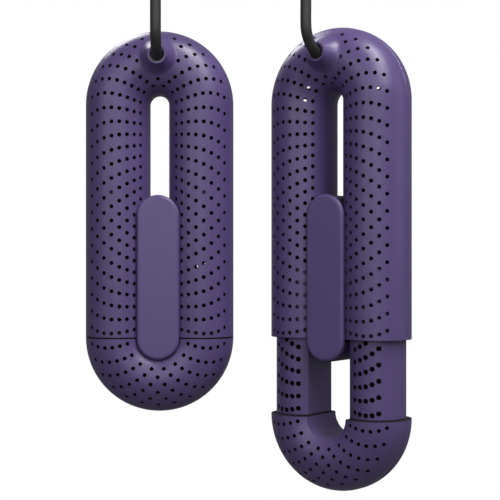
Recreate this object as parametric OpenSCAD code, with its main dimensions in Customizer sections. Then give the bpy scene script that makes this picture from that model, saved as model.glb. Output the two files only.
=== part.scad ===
// Pair of telescoping boot dryers on one twin-lead plug.
// Each dryer is a perforated loop whose lower half draws out of the upper half.
// The left dryer rests closed, the right one rests drawn out, and both hang on their leads.
// Origin: middle of the plug's face, between the pins. +Z is up and the fronts face -Y.

/* [Loop] */
// Overall width of a loop
loop_w = 70; // [66:0.5:80]
// Width of the slot between the two arms
slot_w = 9; // [8:0.5:11]
// Length of the straight arms of a closed loop
straight_len = 110; // [106:1:130]
// Height of the flat band between the front and rear half-rounds
side_band = 2; // [1:0.5:4]
// Wall of the loop's shells
wall = 2; // [1.8:0.1:2.4]
// Gap between the front and rear shells
split_gap = 0.2; // [0.1:0.1:0.4]
// Chamfer along the parting line of the shells
parting_edge = 0.3; // [0.1:0.1:0.5]

/* [Slide] */
// How far the lower half draws out
travel = 36; // [24:1:38]
// Clearance between the lower half's arms and the upper tubes
slide_gap = 0.5; // [0.4:0.1:0.7]
// Wall of the lower half's arms
arm_wall = 1.6; // [1.4:0.1:2]
// Thickness of the web along the middle of an arm
web_t = 1.2; // [1:0.1:1.6]
// How far the arms' flat sides stand back from those of the lower bend
flat_step = 0.7; // [0.4:0.1:1]
// Length of the lower half's arms above the seam
arm_len = 69; // [66:1:70]
// Gap at the seam of a closed loop
seam_gap = 0.4; // [0.2:0.1:0.8]
// Thickness of the rim at each end of the lower bend
rim_t = 2; // [1.6:0.1:3]
// Height of the spigots that carry the lower half's arms
spigot_h = 3; // [2:0.5:4]
// Wall of the spigots
spigot_wall = 1.4; // [1.2:0.1:2]
// Length of the guide bushes in the mouths of the upper tubes
bush_len = 4; // [3:0.5:6]
// Thickness of the guide bushes
bush_t = 0.9; // [0.7:0.1:1]
// Height of the friction pads on the arms
pad_h = 8; // [5:1:10]
// How far the friction pads stand proud of the arms
pad_proud = 0.2; // [0.1:0.05:0.25]

/* [Perforations] */
// Diameter of the holes in the loop's shells
hole_d = 1.9; // [1.4:0.1:2.2]
// Diameter of the holes in the lower half's arms
arm_hole_d = 2.4; // [1.6:0.1:2.6]
// Columns of holes across one face of a tube
hole_columns = 8; // [6:2:8]
// Holes in one column, all the way round the loop
hole_stations = 54; // [40:2:56]
// Angle between two columns
column_step = 13.8; // [13:0.1:14.4]
// Turn of all the columns towards the slot
column_shift = 7.4; // [6:0.1:8]
// First column that the arms carry, counted from the outside
arm_first_column = 2; // [1:1:3]
// Last column that the arms carry, counted from the outside
arm_last_column = 6; // [4:1:6]

/* [Bar] */
// Width of the bar over the slot
bar_w = 20; // [18:0.5:22]
// Upper end centre of the bar, below the centre of the upper bend
bar_top = 53; // [50:1:58]
// Thickness of a bar cover
bar_t = 1.9; // [1.6:0.1:2.4]
// Rounding of a bar cover's outer edge
bar_edge = 1.5; // [0.8:0.1:1.6]
// Gap between a bar cover and the tubes under it
bar_gap = 0.3; // [0.2:0.05:0.6]
// Gap between the bar and the lower bend beside it
bar_side_gap = 0.4; // [0.3:0.05:0.6]
// Gap between the bar's frame and the tubes beside it
frame_gap = 0.3; // [0.2:0.05:0.5]
// Wall of the bar's frame
frame_wall = 1.4; // [1.2:0.1:1.8]
// Height of the frame's guide tabs
tab_h = 4; // [3:0.5:6]
// Half thickness of the frame's guide tabs
tab_half = 1.8; // [1.2:0.1:2.2]
// Clearance round the guide tabs in the keyways of the arms
key_gap = 0.4; // [0.3:0.05:0.6]

/* [Lead boss] */
// Height of the boss's axis above the centre of the upper bend
boss_up = 21.5; // [20:0.5:23]
// Distance of the boss's lip in front of the loop's middle plane
boss_out = 22; // [20.5:0.5:24]
// Radius of the boss's lip
lip_r = 4.3; // [4.1:0.1:5]
// Radius of the boss's foot
boss_r = 9.2; // [8:0.1:10]
// Radius of the boss's bore
bore_r = 3.4; // [3.2:0.1:3.5]
// Diameter of a lead
lead_d = 5; // [4:0.1:5]

/* [Heater] */
// Gap between the heater and the tops of the pushed-in arms
heater_clear = 5; // [4:0.5:8]
// Distance of the heater's top below the centre of the upper bend
heater_top = 5; // [4:0.5:6]
// Clearance of the air guides below the heater inside the arms
guide_clear = 0.8; // [0.6:0.1:1.2]
// Gap between the air guides and the webs of the pushed-in arms
guide_gap = 2; // [1:0.5:3]
// Thickness of the rings that carry the heater
ring_t = 1.25; // [1:0.05:1.6]
// Thickness of one fin
fin_t = 0.8; // [0.6:0.1:1]
// Fins on one side of a heating stone
fin_count = 7; // [5:2:7]
// Thickness of the heating stones
stone_t = 2.4; // [2:0.1:3]
// Thickness of the fin bases
fin_base_t = 2; // [1.6:0.1:2.4]
// Length of those rings
ring_len = 4; // [3:0.5:5]
// Clearance of the rings in the tube and round the fins
ring_gap = 0.2; // [0.1:0.05:0.3]
// Thickness of the control board
board_t = 1.6; // [1.2:0.1:2]
// Diameter of the heater's wires
wire_d = 1.8; // [1.4:0.1:1.8]

/* [Screws] */
// Radius of a screw's shank
screw_r = 1.1; // [1:0.05:1.2]
// Radius of a screw's head
screw_head_r = 2.2; // [2:0.1:2.4]
// Height of a screw's head
screw_head_h = 1.6; // [1.4:0.1:2]
// Radius of the posts that take the screws
post_r = 4.2; // [3.8:0.1:4.4]
// Clearance round a screw
screw_gap = 0.1; // [0.05:0.05:0.2]

/* [Plug] */
// Width of the plug's body
plug_w = 36; // [32:1:44]
// Thickness of the plug's body
plug_t = 17; // [15:0.5:20]
// Height of the plug's body
plug_h = 34; // [30:1:34]
// Diameter of a pin
pin_d = 4; // [3.8:0.1:4.8]
// Diameter of a pin's root inside the plug
pin_root_d = 4.8; // [4.6:0.1:5.2]
// Length of a pin outside the plug
pin_len = 19; // [17:1:20]
// Distance between the pins
pin_pitch = 18.6; // [17:0.1:19]
// Length of a strain relief
relief_len = 22; // [20:1:22]
// Distance between the two leads at the plug
relief_pitch = 12; // [11:0.5:13]

/* [Coil] */
// Radius of the coil's outer turn
coil_r = 34; // [33:0.5:36]
// Step between neighbouring turns
coil_pitch = 5.6; // [5.5:0.1:6]
// Step between the coil's layers
coil_layer = 5.5; // [5.4:0.1:6]
// Turns that spiral in, and again out
coil_spiral = 2.25; // [1.25:1:2.25]
// How far the strand dips inwards while it climbs a layer
coil_dip = 1.2; // [0.8:0.1:1.6]
// Width of the coil's ties
tie_w = 8; // [6:1:10]
// Thickness of the coil's ties
tie_t = 1; // [0.8:0.1:1.4]

/* [Hidden] */
$fn = 64;
shell_colour = [0.37, 0.325, 0.475];
inner_colour = [0.30, 0.265, 0.385];
black_colour = [0.09, 0.09, 0.09];
steel_colour = [0.72, 0.73, 0.75];
eps = 0.01;

// Tube section and loop
tube_r = (loop_w - slot_w) / 4;
arm_x = slot_w / 2 + tube_r;
cavity_r = tube_r - wall;
arm_r = cavity_r - slide_gap;
arm_bore_r = arm_r - arm_wall;
half_depth = tube_r + side_band / 2;

// Flat sides towards the bar, as distances from the loop's middle line
cap_flat = bar_w / 2 + bar_side_gap;
arm_flat = cap_flat + flat_step;
arm_bore_flat = arm_flat + arm_wall;
spigot_fit = 0.1;
spigot_r = arm_bore_r - spigot_fit;
spigot_flat = arm_bore_flat + spigot_fit;
spigot_bore_r = spigot_r - spigot_wall;
spigot_bore_flat = spigot_flat + spigot_wall;

// Bar: how high its covers sit over the flanks of the tubes
flank = arm_x - bar_w / 2;
bar_seat = side_band / 2 + sqrt(pow(tube_r, 2) - pow(flank, 2)) + bar_gap;
frame_half = slot_w / 2 - frame_gap;
block_half = bar_w / 2 - frame_gap;
frame_end_inset = 1;
frame_top = bar_top - bar_w / 2 + frame_half + frame_end_inset;
rib_depth = 3;
rib_gap = 0.1;
tab_fit = 0.1;

// Guide tabs: the lower pair reaches into the keyways of the arms and stops them when drawn out
arm_top = straight_len - arm_len;
key_bridge = 1.6;
tip_gap = 0.2;
key_tab_y = arm_top + key_bridge + key_gap + tab_h / 2 + travel;
key_reach = arm_bore_flat - tip_gap;
hold_tab_y = bar_top + tab_h + frame_wall;
hold_reach = slot_w / 2 + wall - tip_gap;
tab_root = 0.5;

// Guide bushes and friction pads
bush_gap = 0.7 * slide_gap;
bush_lip = 1;
bush_r = arm_r + bush_gap;
mouth_y = -straight_len + seam_gap;
bush_top_y = mouth_y + bush_lip + bush_len;
pad_depth = arm_wall / 2;
pad_half = 5;
pad_top_y = -arm_top - 3;

// Screws: their place round the bends and along their own axes
post_angle = 50;
head_seat = 8;
shank_out = 8;
upper_post = arm_x * [cos(post_angle), sin(post_angle)];
lower_post = [upper_post.x, -straight_len - upper_post.y];
slider_post_r = 0.8 * post_r;
cross_half = 0.7 * screw_head_r;
cross_w = 0.7;
cross_depth = 0.9;

// Lead: the bore follows the lead's tilt, and the grommet and clamp sit on the same line
bore_tilt = 20;
grommet_in = 1.5;
grommet_len = 5;
lead_fit = 0.1;
lead_in = 13;
clamp_w = 10;
clamp_low = boss_up - 8;
clamp_high = boss_up;
clamp_top = boss_out - 9.1;

// Heater and board
heater_low = arm_top - heater_clear;
web_top = arm_top + travel;
guide_low = web_top - guide_gap;
guide_in = arm_bore_flat - arm_x + guide_clear;
guide_out = arm_bore_r - guide_clear;
fin_tip_r = cavity_r - 2 * ring_gap - ring_t;
fin_end = 2.6;
fin_base_half = fin_tip_r - fin_end;
fin_spread = fin_base_half - fin_t / 2;
stone_edge = 1.5;
stone_half = fin_base_half - stone_edge;
stone_inset = 1;
wire_in = 5;
wire_gap = 0.05;
wire_z = board_t / 2 + wire_d / 2 + wire_gap;
board_margin = 1.5;
board_in_r = arm_x - cavity_r + board_margin;
board_out_r = arm_x + cavity_r - board_margin;
board_from = 35;
wire_end = 40;
fuse_r = 1.8;
fuse_len = 10;
cap_r = 2.5;
cap_h = 7;
chip = [8, 5, 1.8];

// Plug and ties
shoulder_h = 8;
shoulder_inset = 1.5;
pin_in = 8;
pin_gap = 0.05;
relief_top_r = 4.6;
relief_low_r = 3.4;
relief_ribs = 5;
rib_rise = 0.4;
tie_gap = 0.4;

// Perforations: rows too near a seam or a screw head are left out
seam_margin = 1.3;
head_margin = 1.4;
hole_reach = 0.6;
sleeve_edge = 0.8;

// Places of the two dryers, hung so that their leads run straight up into the coil
lead_out = 30.5;
dryer_z = -215;
coil_z = -124;
right_turn = 34.3;
left_at = [-coil_r, lead_out + coil_layer / 2, dryer_z];
right_at = [
    coil_r + lead_out * sin(right_turn),
    lead_out * cos(right_turn) - coil_layer / 2,
    dryer_z
];

// Route of a lead from its clamp to the coil, from the centre of the upper bend
lead_route = [
    [0, -9.8, 17], [0, -16, 19.3], [0, -22, 21.5], [0, -25.5, 23.4], [0, -28.2, 26.3],
    [0, -30, 29.8], [0, -30.5, 33.7], [0, -30.5, 40], [0, -30.5, 50], [0, -30.5, 62],
    [0, -30.5, 74], [0, -30.5, 86]
];
// Route of the left lead from the coil to the plug: shares of the width and depth there, and the height
end_shape = [
    [1, 1, -119], [1, 1, -110], [1, 0.994, -103], [0.966, 0.909, -96.5],
    [0.862, 0.788, -90.5], [0.707, 0.642, -85.5], [0.5, 0.497, -82.5], [0.293, 0.352, -79],
    [0.138, 0.206, -74.5], [0.034, 0.085, -68.5], [0, 0, -62], [0, 0, -56]
];
end_route = [
    for (p = end_shape)
        [-relief_pitch / 2 - (coil_r - relief_pitch / 2) * p.x, 1.5 * coil_layer * p.y, p.z]
];
lead_sides = 10;
coil_sides = 6;
rings_a_turn = 24;
coil_climb = 0.5;
coil_turns = 2 * coil_spiral + coil_climb;
coil_tail = lead_d;

// Angle, path radius and path length of a column of holes, and the way to one of its holes
function column_angle(k) = column_shift + column_step * (k - hole_columns / 2 - 1);
function column_r(k) = arm_x - tube_r * sin(column_angle(k));
function column_len(k) = 2 * straight_len + 2 * PI * column_r(k);
function hole_way(k, n) = (n + (k % 2 == 1 ? 0 : 0.5)) * column_len(k) / hole_stations;
function bend_way(k) = PI * column_r(k) / 2;

// Place of a hole on the right half of the loop, seen from the front
function hole_xy(k, way) =
    let (r = column_r(k), bend = bend_way(k))
    way <= bend ? r * [sin(way / r * 180 / PI), cos(way / r * 180 / PI)] :
    way <= bend + straight_len ? [r, bend - way] :
    let (turn = 90 + (way - bend - straight_len) / r * 180 / PI)
    r * [sin(turn), cos(turn)] - [0, straight_len];

// Distance of a place from the line between two bar ends
function bar_distance(p) = norm([p.x, p.y + min(max(-p.y, bar_top), straight_len)]);
function near(p, q, r) = norm(p - q) < r;

// Vectors for the swept leads
function unit(v) = v / norm(v);
function way_along(route, i) = unit(route[min(i + 1, len(route) - 1)] - route[max(i - 1, 0)]);
function smooth(u) = u * u * (3 - 2 * u);

// Strand of the left lead's coil, after a number of turns from nine o'clock
function coil_turn_r(t) =
    t <= coil_spiral ? coil_r - coil_pitch * t :
    t >= coil_spiral + coil_climb ? coil_r - coil_pitch * (coil_turns - t) :
    coil_r - coil_pitch * coil_spiral - coil_dip * sin(180 * (t - coil_spiral) / coil_climb);
function coil_turn_y(t) =
    coil_layer / 2 + coil_layer * smooth(min(max((t - coil_spiral) / coil_climb, 0), 1));
function coil_point(t) =
    let (a = 180 - 360 * t, r = coil_turn_r(t))
    [r * cos(a), coil_turn_y(t), coil_z + r * sin(a)];
coil_line = [for (i = [0:rings_a_turn * coil_turns]) coil_point(i / rings_a_turn)];
coil_route = concat(
    [coil_line[0] - [0, 0, coil_tail]],
    coil_line,
    [coil_line[len(coil_line) - 1] + [0, 0, coil_tail]]
);
coil_gap = min([
    for (i = [0:len(coil_route) - 1])
        for (j = [i + rings_a_turn / 2:1:len(coil_route) - 1])
            norm(coil_route[i] - coil_route[j])
]) - lead_d;
echo(str("Least gap of a coil to itself: ", coil_gap, " mm"));

// Places a loop drawn face up, with its top towards +Y, upright at the left or right dryer
module at_left() {
    translate(left_at) rotate([90, 0, 0]) children();
}

module at_right() {
    translate(right_at) rotate([0, 0, -right_turn]) rotate([90, 0, 0]) children();
}

module drawn_out() {
    translate([0, -travel, 0]) children();
}

module both_arms() {
    children();
    mirror([1, 0, 0]) children();
}

// Section of a tube with a flat band at its sides
module tube_section(r) {
    translate([0, side_band / 2]) circle(r);
    translate([0, -side_band / 2]) circle(r);
    square([2 * r, side_band], center = true);
}

// Chamfer on both sides of a tube, at a height above its middle
module parting_cut(r, height) {
    for (side = [-1, 1])
        translate([side * r, height]) rotate(45) square(parting_edge * sqrt(2), center = true);
}

// Front half of a hollow tube section
module half_section(r, bore) {
    difference() {
        intersection() {
            tube_section(r);
            translate([-2 * r, split_gap / 2]) square([4 * r, 2 * r]);
        }
        tube_section(bore);
        parting_cut(r, split_gap / 2);
    }
}

// Section of a tube with a flat side towards the bar
module flat_section(r, flat) {
    intersection() {
        tube_section(r);
        translate([flat - arm_x, -2 * r]) square(4 * r);
    }
}

// Front half of a hollow section with flat sides
module half_flat_section(r, flat, bore, bore_flat) {
    difference() {
        intersection() {
            flat_section(r, flat);
            translate([-2 * r, split_gap / 2]) square([4 * r, 2 * r]);
        }
        flat_section(bore, bore_flat);
    }
}

// Straight tube along the right arm, from y = top down to y = bottom
module arm_run(top, bottom) {
    translate([arm_x, top, 0]) rotate([90, 0, 0]) linear_extrude(top - bottom) children();
}

module upper_bend() {
    rotate_extrude(angle = 180) translate([arm_x, 0]) children();
}

// One hole through a shell on the right half of the loop
module hole(k, way, d, r) {
    bend = bend_way(k);
    phi = column_angle(k);
    depth = wall + 2 * hole_reach;
    if (way > bend && way < bend + straight_len)
        translate([arm_x, bend - way, side_band / 2]) rotate([0, -phi, 0])
            translate([0, 0, r - depth + hole_reach]) cylinder(d = d, h = depth);
    else {
        below = way <= bend ? 0 : straight_len;
        turn = (way - below) / column_r(k) * 180 / PI;
        translate([0, -below, 0]) rotate([0, 0, -turn]) translate([0, arm_x, side_band / 2])
            rotate([phi, 0, 0]) translate([0, 0, r - depth + hole_reach]) cylinder(d = d, h = depth);
    }
}

// Holes of the columns and ways given, on both halves of the loop, clear of the kept places
module holes(columns, low, high, d, r, keep = [], keep_r = 0, bar = false) {
    for (k = columns) {
        for (n = [0:hole_stations / 2]) {
            way = hole_way(k, n);
            p = hole_xy(k, way);
            on_axis = abs(p.x) < eps;
            kept = [for (q = keep) if (near(p, q, keep_r) || near([-p.x, p.y], q, keep_r)) q];
            under_bar = bar && bar_distance(p) < bar_w / 2 + d / 4;
            from_bend = way - bend_way(k);
            if (from_bend >= low && from_bend <= high && len(kept) == 0 && !under_bar) {
                hole(k, way, d, r);
                if (!on_axis) mirror([1, 0, 0]) hole(k, way, d, r);
            }
        }
    }
}

// Shell of the upper half, without its holes and fittings
module upper_half() {
    upper_bend() half_section(tube_r, cavity_r);
    both_arms() arm_run(0, mouth_y) half_section(tube_r, cavity_r);
}

// Grooves for the guide bushes and notches for the frame's tabs
module upper_cuts() {
    both_arms() {
        arm_run(bush_top_y + tab_fit, bush_top_y - bush_len - tab_fit)
            tube_section(bush_r + bush_t + tab_fit);
        for (y = [hold_tab_y, key_tab_y])
            translate([frame_half, -y - tab_h / 2 - tab_fit, -tab_half - tab_fit])
                cube([wall + slot_w / 4, tab_h + 2 * tab_fit, 2 * (tab_half + tab_fit)]);
    }
}

// Post for a screw, from the wall of a shell to its stop near the middle
module post(xy, r, stop) {
    translate([xy.x, xy.y, stop]) cylinder(r = r, h = half_depth - wall / 2 - stop);
}

// Pilot hole for a screw in a front shell's post
module screw_pilot(xy) {
    translate([xy.x, xy.y, 0]) cylinder(r = screw_r + screw_gap / 2, h = shank_out + 1);
}

// Clearance hole and head recess in a rear shell's post
module screw_way(xy) {
    translate([xy.x, xy.y, 0]) cylinder(r = screw_r + screw_gap, h = half_depth);
    translate([xy.x, xy.y, head_seat]) cylinder(r = screw_head_r + 2 * screw_gap, h = half_depth);
}

// Flared boss for the lead
module boss() {
    reach = boss_up + boss_r - arm_x;
    foot = side_band / 2 + sqrt(pow(tube_r, 2) - pow(reach, 2)) - wall / 3;
    steps = 10;
    flare = 1.4;
    outline = [
        for (i = [0:steps])
            [lip_r + (boss_r - lip_r) * pow(1 - i / steps, flare), foot + (boss_out - foot) * i / steps]
    ];
    translate([0, boss_up, 0])
        rotate_extrude() polygon(concat([[0, foot]], outline, [[0, boss_out]]));
}

// Line of the lead through the boss: its own z runs outwards from the lip
module on_lead_line() {
    translate([0, boss_up, boss_out]) rotate([-bore_tilt, 0, 0]) children();
}

module upper_front_shell() {
    color(shell_colour) difference() {
        union() {
            upper_half();
            both_arms() post(upper_post, post_r, board_t / 2);
            difference() {
                boss();
                upper_bend() tube_section(cavity_r);
            }
        }
        upper_cuts();
        on_lead_line() translate([0, 0, -lead_in]) cylinder(r = bore_r, h = 2 * lead_in);
        both_arms() screw_pilot(upper_post);
        holes([1:hole_columns], -loop_w, straight_len - seam_margin, hole_d, tube_r,
            [[0, boss_up]], boss_r + hole_d / 4, true);
    }
}

module upper_rear_shell() {
    color(shell_colour) mirror([0, 0, 1]) difference() {
        union() {
            upper_half();
            both_arms() post(upper_post, post_r, board_t / 2);
        }
        upper_cuts();
        both_arms() screw_way(upper_post);
        holes([1:hole_columns], -loop_w, straight_len - seam_margin, hole_d, tube_r,
            [upper_post], screw_head_r + head_margin, true);
    }
}

// Shell of the lower bend, without its holes: the bend, its rims and the spigots on them
module slider_half() {
    rim_angle = rim_t / arm_x * 180 / PI;
    translate([0, -straight_len, 0]) {
        rotate_extrude(angle = 180 - 2 * rim_angle, start = 180 + rim_angle)
            translate([arm_x, 0]) half_flat_section(tube_r, cap_flat, cavity_r, cap_flat + arm_wall);
        both_arms() rotate_extrude(angle = rim_angle, start = 360 - rim_angle)
            translate([arm_x, 0])
                half_flat_section(tube_r, cap_flat, spigot_bore_r, spigot_bore_flat);
    }
    both_arms() arm_run(-straight_len + spigot_h, -straight_len)
        half_flat_section(spigot_r, spigot_flat, spigot_bore_r, spigot_bore_flat);
}

// Section of a friction pad on the outer side of an arm
module pad_section(inner, outer, half) {
    intersection() {
        difference() {
            tube_section(outer);
            tube_section(inner);
        }
        translate([0, -half]) square([2 * outer, 2 * half]);
    }
}

// Keyways for the guide tabs and pockets for the friction pads
module sleeve_cuts() {
    key_low = -key_tab_y - tab_h / 2 - key_gap;
    key_high = -key_tab_y + travel + tab_h / 2 + key_gap;
    both_arms() {
        translate([arm_flat - key_gap, key_low, -tab_half - key_gap])
            cube([arm_wall + 2 * key_gap, key_high - key_low, 2 * (tab_half + key_gap)]);
        arm_run(pad_top_y + tab_fit, pad_top_y - pad_h - tab_fit)
            pad_section(arm_r - pad_depth - tab_fit / 2, arm_r + wall, pad_half + tab_fit);
    }
}

// Holes in the front of the arms, clear of both ends
module sleeve_holes() {
    margin = arm_hole_d / 2 + sleeve_edge;
    holes([arm_first_column:arm_last_column], arm_top + margin, straight_len - margin, arm_hole_d, arm_r);
}

// Notches in the spigots behind the arms' last holes
module spigot_holes() {
    margin = arm_hole_d / 2 + sleeve_edge;
    holes([arm_first_column:arm_last_column], straight_len - spigot_h - arm_hole_d / 2,
        straight_len - margin, arm_hole_d, arm_bore_r);
}

// Web along the middle of an arm, which keeps the front and rear air apart
module web_section() {
    intersection() {
        flat_section(arm_r - arm_wall / 2, arm_flat + arm_wall / 2);
        square([4 * arm_r, web_t], center = true);
    }
}

// The same web in the lower bend and its spigots, on one side of the parting plane
module bend_web() {
    translate([0, -straight_len, 0]) rotate_extrude(angle = 180, start = 180) translate([arm_x, 0])
        intersection() {
            flat_section(tube_r - wall / 2, cap_flat + arm_wall / 2);
            translate([-2 * tube_r, split_gap / 2]) square([4 * tube_r, web_t]);
        }
    both_arms() arm_run(-straight_len + spigot_h, -straight_len) intersection() {
        flat_section(spigot_r - spigot_wall / 2, spigot_flat + spigot_wall / 2);
        translate([-2 * tube_r, split_gap / 2]) square([4 * tube_r, web_t]);
    }
}

// Arms of the lower half, pushed over the spigots
module slider_sleeves() {
    color(shell_colour) difference() {
        both_arms() {
            arm_run(-arm_top, -straight_len + spigot_fit) difference() {
                flat_section(arm_r, arm_flat);
                flat_section(arm_bore_r, arm_bore_flat);
                parting_cut(arm_r, 0);
            }
            arm_run(-web_top, -straight_len + spigot_h + web_t) web_section();
        }
        sleeve_cuts();
        sleeve_holes();
        mirror([0, 0, 1]) sleeve_holes();
    }
}

module slider_holes(keep, keep_r) {
    columns = [for (k = [1:hole_columns]) if (column_r(k) > cap_flat + hole_d / 2 + hole_reach) k];
    holes(columns, straight_len + seam_margin, straight_len + loop_w * 2, hole_d, tube_r, keep, keep_r);
}

// Chamfer along the parting line of the lower bend
module bend_parting() {
    over = 1;
    translate([0, -straight_len, 0]) rotate_extrude(angle = 180 + 2 * over, start = 180 - over)
        translate([arm_x + tube_r, split_gap / 2]) rotate(45)
            square(parting_edge * sqrt(2), center = true);
}

module slider_front_shell() {
    color(shell_colour) difference() {
        union() {
            slider_half();
            both_arms() post(lower_post, slider_post_r, split_gap / 2);
        }
        both_arms() screw_pilot(lower_post);
        slider_holes([], 0);
        spigot_holes();
        bend_parting();
    }
}

module slider_rear_shell() {
    color(shell_colour) mirror([0, 0, 1]) difference() {
        union() {
            slider_half();
            bend_web();
            both_arms() post(lower_post, slider_post_r, split_gap / 2);
        }
        both_arms() screw_way(lower_post);
        slider_holes([lower_post], screw_head_r + head_margin);
        spigot_holes();
        bend_parting();
    }
}

// Outline with round ends along the slot
module pill(half, top, bottom) {
    translate([0, -top]) circle(half);
    translate([0, -bottom]) circle(half);
    translate([-half, -bottom]) square([2 * half, bottom - top]);
}

// Half of a bar cover's section, with its rounded outer edge
module cover_section() {
    intersection() {
        union() {
            square([bar_w / 2 - bar_edge, bar_t]);
            square([bar_w / 2, bar_t - bar_edge]);
            translate([bar_w / 2 - bar_edge, bar_t - bar_edge]) circle(bar_edge);
        }
        square([bar_w, bar_t]);
    }
}

// Bar cover on the front, with the rib that sits in the frame
module bar_cover() {
    rib_half = frame_half - frame_wall - rib_gap;
    translate([0, 0, bar_seat]) {
        translate([0, -bar_top, 0]) rotate_extrude(angle = 180) cover_section();
        translate([0, -straight_len, 0]) rotate_extrude(angle = 180, start = 180) cover_section();
        both_arms() translate([0, -bar_top, 0]) rotate([90, 0, 0])
            linear_extrude(straight_len - bar_top) cover_section();
    }
    translate([0, 0, bar_seat - rib_depth]) linear_extrude(rib_depth + bar_t / 4) difference() {
        pill(rib_half, frame_top, straight_len);
        pill(rib_half - frame_wall, frame_top, straight_len);
    }
}

module bar_front_cover() {
    color(shell_colour) bar_cover();
}

module bar_rear_cover() {
    color(shell_colour) mirror([0, 0, 1]) bar_cover();
}

// Frame of the bar, which fills the room between the tubes, with its holding tabs and guide tabs
module bar_frame() {
    color(inner_colour) {
        difference() {
            linear_extrude(2 * bar_seat, center = true) difference() {
                pill(block_half, bar_top, straight_len);
                pill(frame_half - frame_wall, frame_top, straight_len);
            }
            both_arms() arm_run(0, -straight_len - bar_w) tube_section(tube_r + frame_gap);
        }
        both_arms() {
            frame_tab(hold_tab_y, hold_reach);
            frame_tab(key_tab_y, key_reach);
        }
    }
}

module frame_tab(y, reach) {
    translate([frame_half - tab_root, -y - tab_h / 2, -tab_half])
        cube([reach - frame_half + tab_root, tab_h, 2 * tab_half]);
}

module lead_grommet() {
    color(black_colour) on_lead_line() translate([0, 0, -grommet_in - grommet_len]) difference() {
        cylinder(r = bore_r - lead_fit, h = grommet_len);
        translate([0, 0, -1]) cylinder(d = lead_d + 2 * lead_fit, h = grommet_len + 2);
    }
}

// Clamp on the board that grips the end of the lead
module lead_clamp() {
    color("gainsboro") difference() {
        translate([-clamp_w / 2, clamp_low, board_t / 2])
            cube([clamp_w, clamp_high - clamp_low, clamp_top - board_t / 2]);
        on_lead_line() translate([0, 0, -lead_in]) cylinder(d = lead_d + 2 * lead_fit, h = lead_in);
    }
}

module control_board() {
    color("darkgreen") difference() {
        rotate_extrude(angle = 180 - 2 * board_from, start = board_from)
            translate([board_in_r, -board_t / 2]) square([board_out_r - board_in_r, board_t]);
        both_arms() translate([upper_post.x, upper_post.y, -board_t])
            cylinder(r = screw_r + screw_gap, h = 2 * board_t);
    }
}

module thermal_fuse() {
    color("silver") translate([-fuse_len / 2, clamp_high + 2 * fuse_r, board_t / 2 + fuse_r])
        rotate([0, 90, 0]) cylinder(r = fuse_r, h = fuse_len);
}

// Two capacitors on the front of the board and a chip on its back
module board_parts() {
    color([0.15, 0.15, 0.2]) {
        both_arms() translate([clamp_w / 2 + 1.2 * cap_r, clamp_high + cap_r, board_t / 2])
            cylinder(r = cap_r, h = cap_h);
        translate([-chip.x / 2, arm_x - chip.y / 2, -board_t / 2 - chip.z]) cube(chip);
    }
}

// Finned half of a heater: a base on the heating stone and its fins
module fin_comb() {
    base_top = stone_t / 2 + fin_base_t;
    translate([-fin_base_half, stone_t / 2]) square([2 * fin_base_half, fin_base_t]);
    intersection() {
        for (i = [0:fin_count - 1])
            translate([-fin_spread + i * 2 * fin_spread / (fin_count - 1) - fin_t / 2, base_top - eps])
                square([fin_t, fin_tip_r]);
        circle(fin_tip_r);
    }
}

module heater_fins() {
    color("silver") both_arms() arm_run(-heater_top, -heater_low) {
        fin_comb();
        mirror([0, 1]) fin_comb();
    }
}

module heating_stones() {
    color([0.35, 0.3, 0.28]) both_arms() arm_run(-heater_top - stone_inset, -heater_low + stone_inset)
        square([2 * stone_half, stone_t], center = true);
}

// Plates that carry on from the heating stones and keep the front and rear air apart
module air_guides() {
    color(black_colour) both_arms() arm_run(-heater_low + stone_inset, -guide_low)
        translate([guide_in, -stone_t / 2]) square([guide_out - guide_in, stone_t]);
}

module heater_rings() {
    color([0.75, 0.72, 0.66]) both_arms()
        for (y = [-heater_top - stone_inset, -heater_low + stone_inset + ring_len])
            arm_run(y, y - ring_len) difference() {
                circle(cavity_r - ring_gap);
                circle(fin_tip_r + ring_gap);
            }
}

// Two wires from the board to each heater, one on each face of the board
module heater_wires() {
    color([0.75, 0.1, 0.08]) both_arms() for (z = [-wire_z, wire_z]) {
        rotate_extrude(angle = wire_end) translate([arm_x - wire_in, z]) circle(d = wire_d);
        translate([arm_x - wire_in, 0, z]) rotate([90, 0, 0]) cylinder(d = wire_d, h = heater_top);
    }
}

module sleeve_bushes() {
    color(black_colour) both_arms() arm_run(bush_top_y, bush_top_y - bush_len) difference() {
        tube_section(bush_r + bush_t);
        flat_section(bush_r, arm_flat - bush_gap);
    }
}

module slide_pads() {
    color(black_colour) both_arms() arm_run(pad_top_y, pad_top_y - pad_h)
        pad_section(arm_r - pad_depth, arm_r + pad_proud, pad_half);
}

// Cross-head screw from the back, with its axis at a post
module screw(xy) {
    color(steel_colour) translate([xy.x, xy.y, 0]) difference() {
        union() {
            translate([0, 0, -head_seat]) cylinder(r = screw_r, h = head_seat + shank_out);
            translate([0, 0, -head_seat - screw_head_h]) cylinder(r = screw_head_r, h = screw_head_h);
        }
        translate([0, 0, -head_seat - screw_head_h]) for (turn = [0, 90])
            rotate(turn) cube([2 * cross_half, cross_w, 2 * cross_depth], center = true);
    }
}

module shell_screws() {
    both_arms() screw(upper_post);
}

module slider_screws() {
    both_arms() screw(lower_post);
}

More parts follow.
